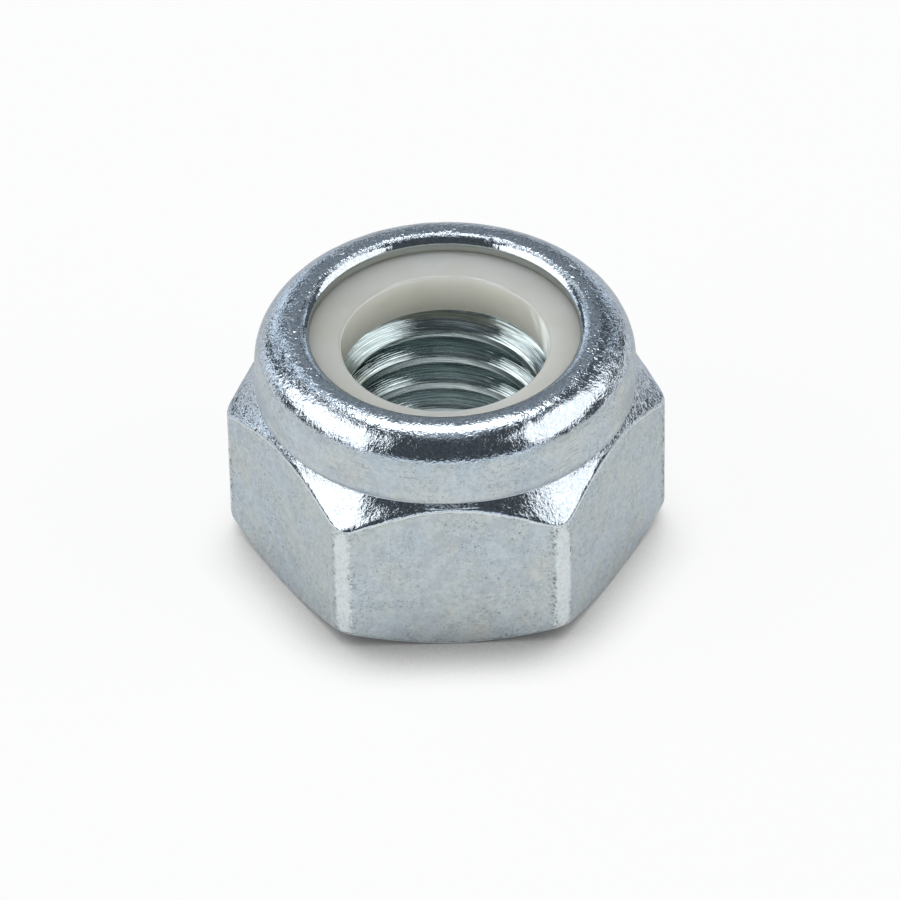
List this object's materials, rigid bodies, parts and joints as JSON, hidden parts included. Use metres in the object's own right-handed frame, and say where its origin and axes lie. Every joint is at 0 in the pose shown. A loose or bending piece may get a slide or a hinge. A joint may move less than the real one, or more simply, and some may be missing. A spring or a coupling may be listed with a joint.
{
  "type": "nylon insert lock nut",
  "caption": "Tall hexagon lock nut whose rolled-in collar holds a nylon ring that grips the bolt's thread so the joint does not shake loose.",
  "frame": {"origin": "centre of the bearing face, on the thread axis", "axes": "+Z along the thread axis towards the nylon end, +X through a hexagon corner, one hexagon flat facing -Y"},
  "size_m": [0.0193, 0.017, 0.0111],
  "materials": {
    "nut_body": "bright zinc plating: satin flats and collar wall, shiny rolled rim and shoulder",
    "nylon_ring": "smooth milky nylon, slightly glossy"
  },
  "bodies": {
    "root": {"nut_body": "nut_body", "nylon_ring": "nylon_ring"}
  },
  "joints": []
}
